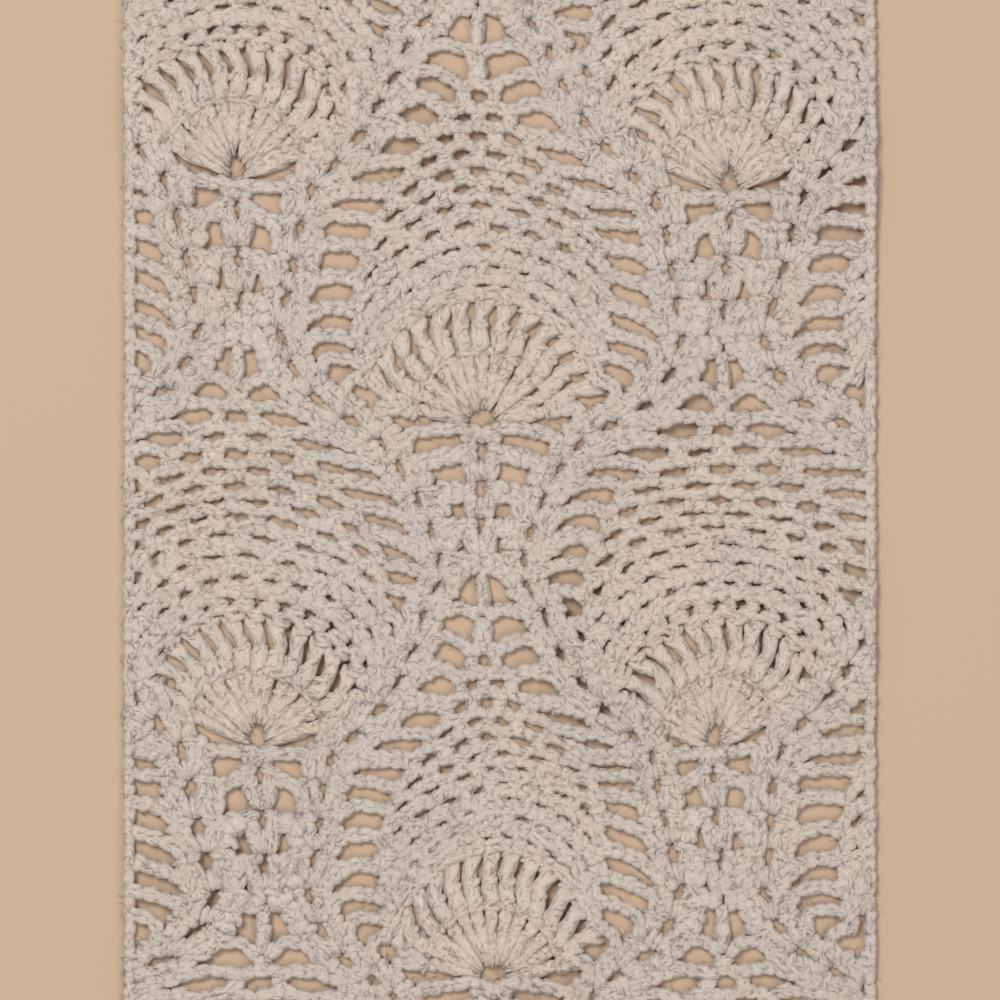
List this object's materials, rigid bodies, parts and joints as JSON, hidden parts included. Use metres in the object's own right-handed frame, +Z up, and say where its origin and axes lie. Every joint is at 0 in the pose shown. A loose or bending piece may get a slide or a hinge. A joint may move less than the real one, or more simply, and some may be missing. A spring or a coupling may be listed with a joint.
{
  "type": "crochet throw blanket, cut length of pineapple lace",
  "caption": "Cut length of off-white crochet throw blanket in pineapple lace: solid fans, radiating spokes, looped net and shell columns with open gaps between, lying flat with soft humps.",
  "frame": {"origin": "on the surface it lies on, under the middle of the cloth's length and width", "axes": "+X across the columns of pineapples, +Y up the rows as they were worked, +Z up through the cloth"},
  "size_m": [0.264, 0.37, 0.0097],
  "materials": {
    "yarn": "soft matt worsted yarn, ecru"
  },
  "bodies": {
    "root": {"crochet_cloth": "yarn"}
  },
  "joints": []
}
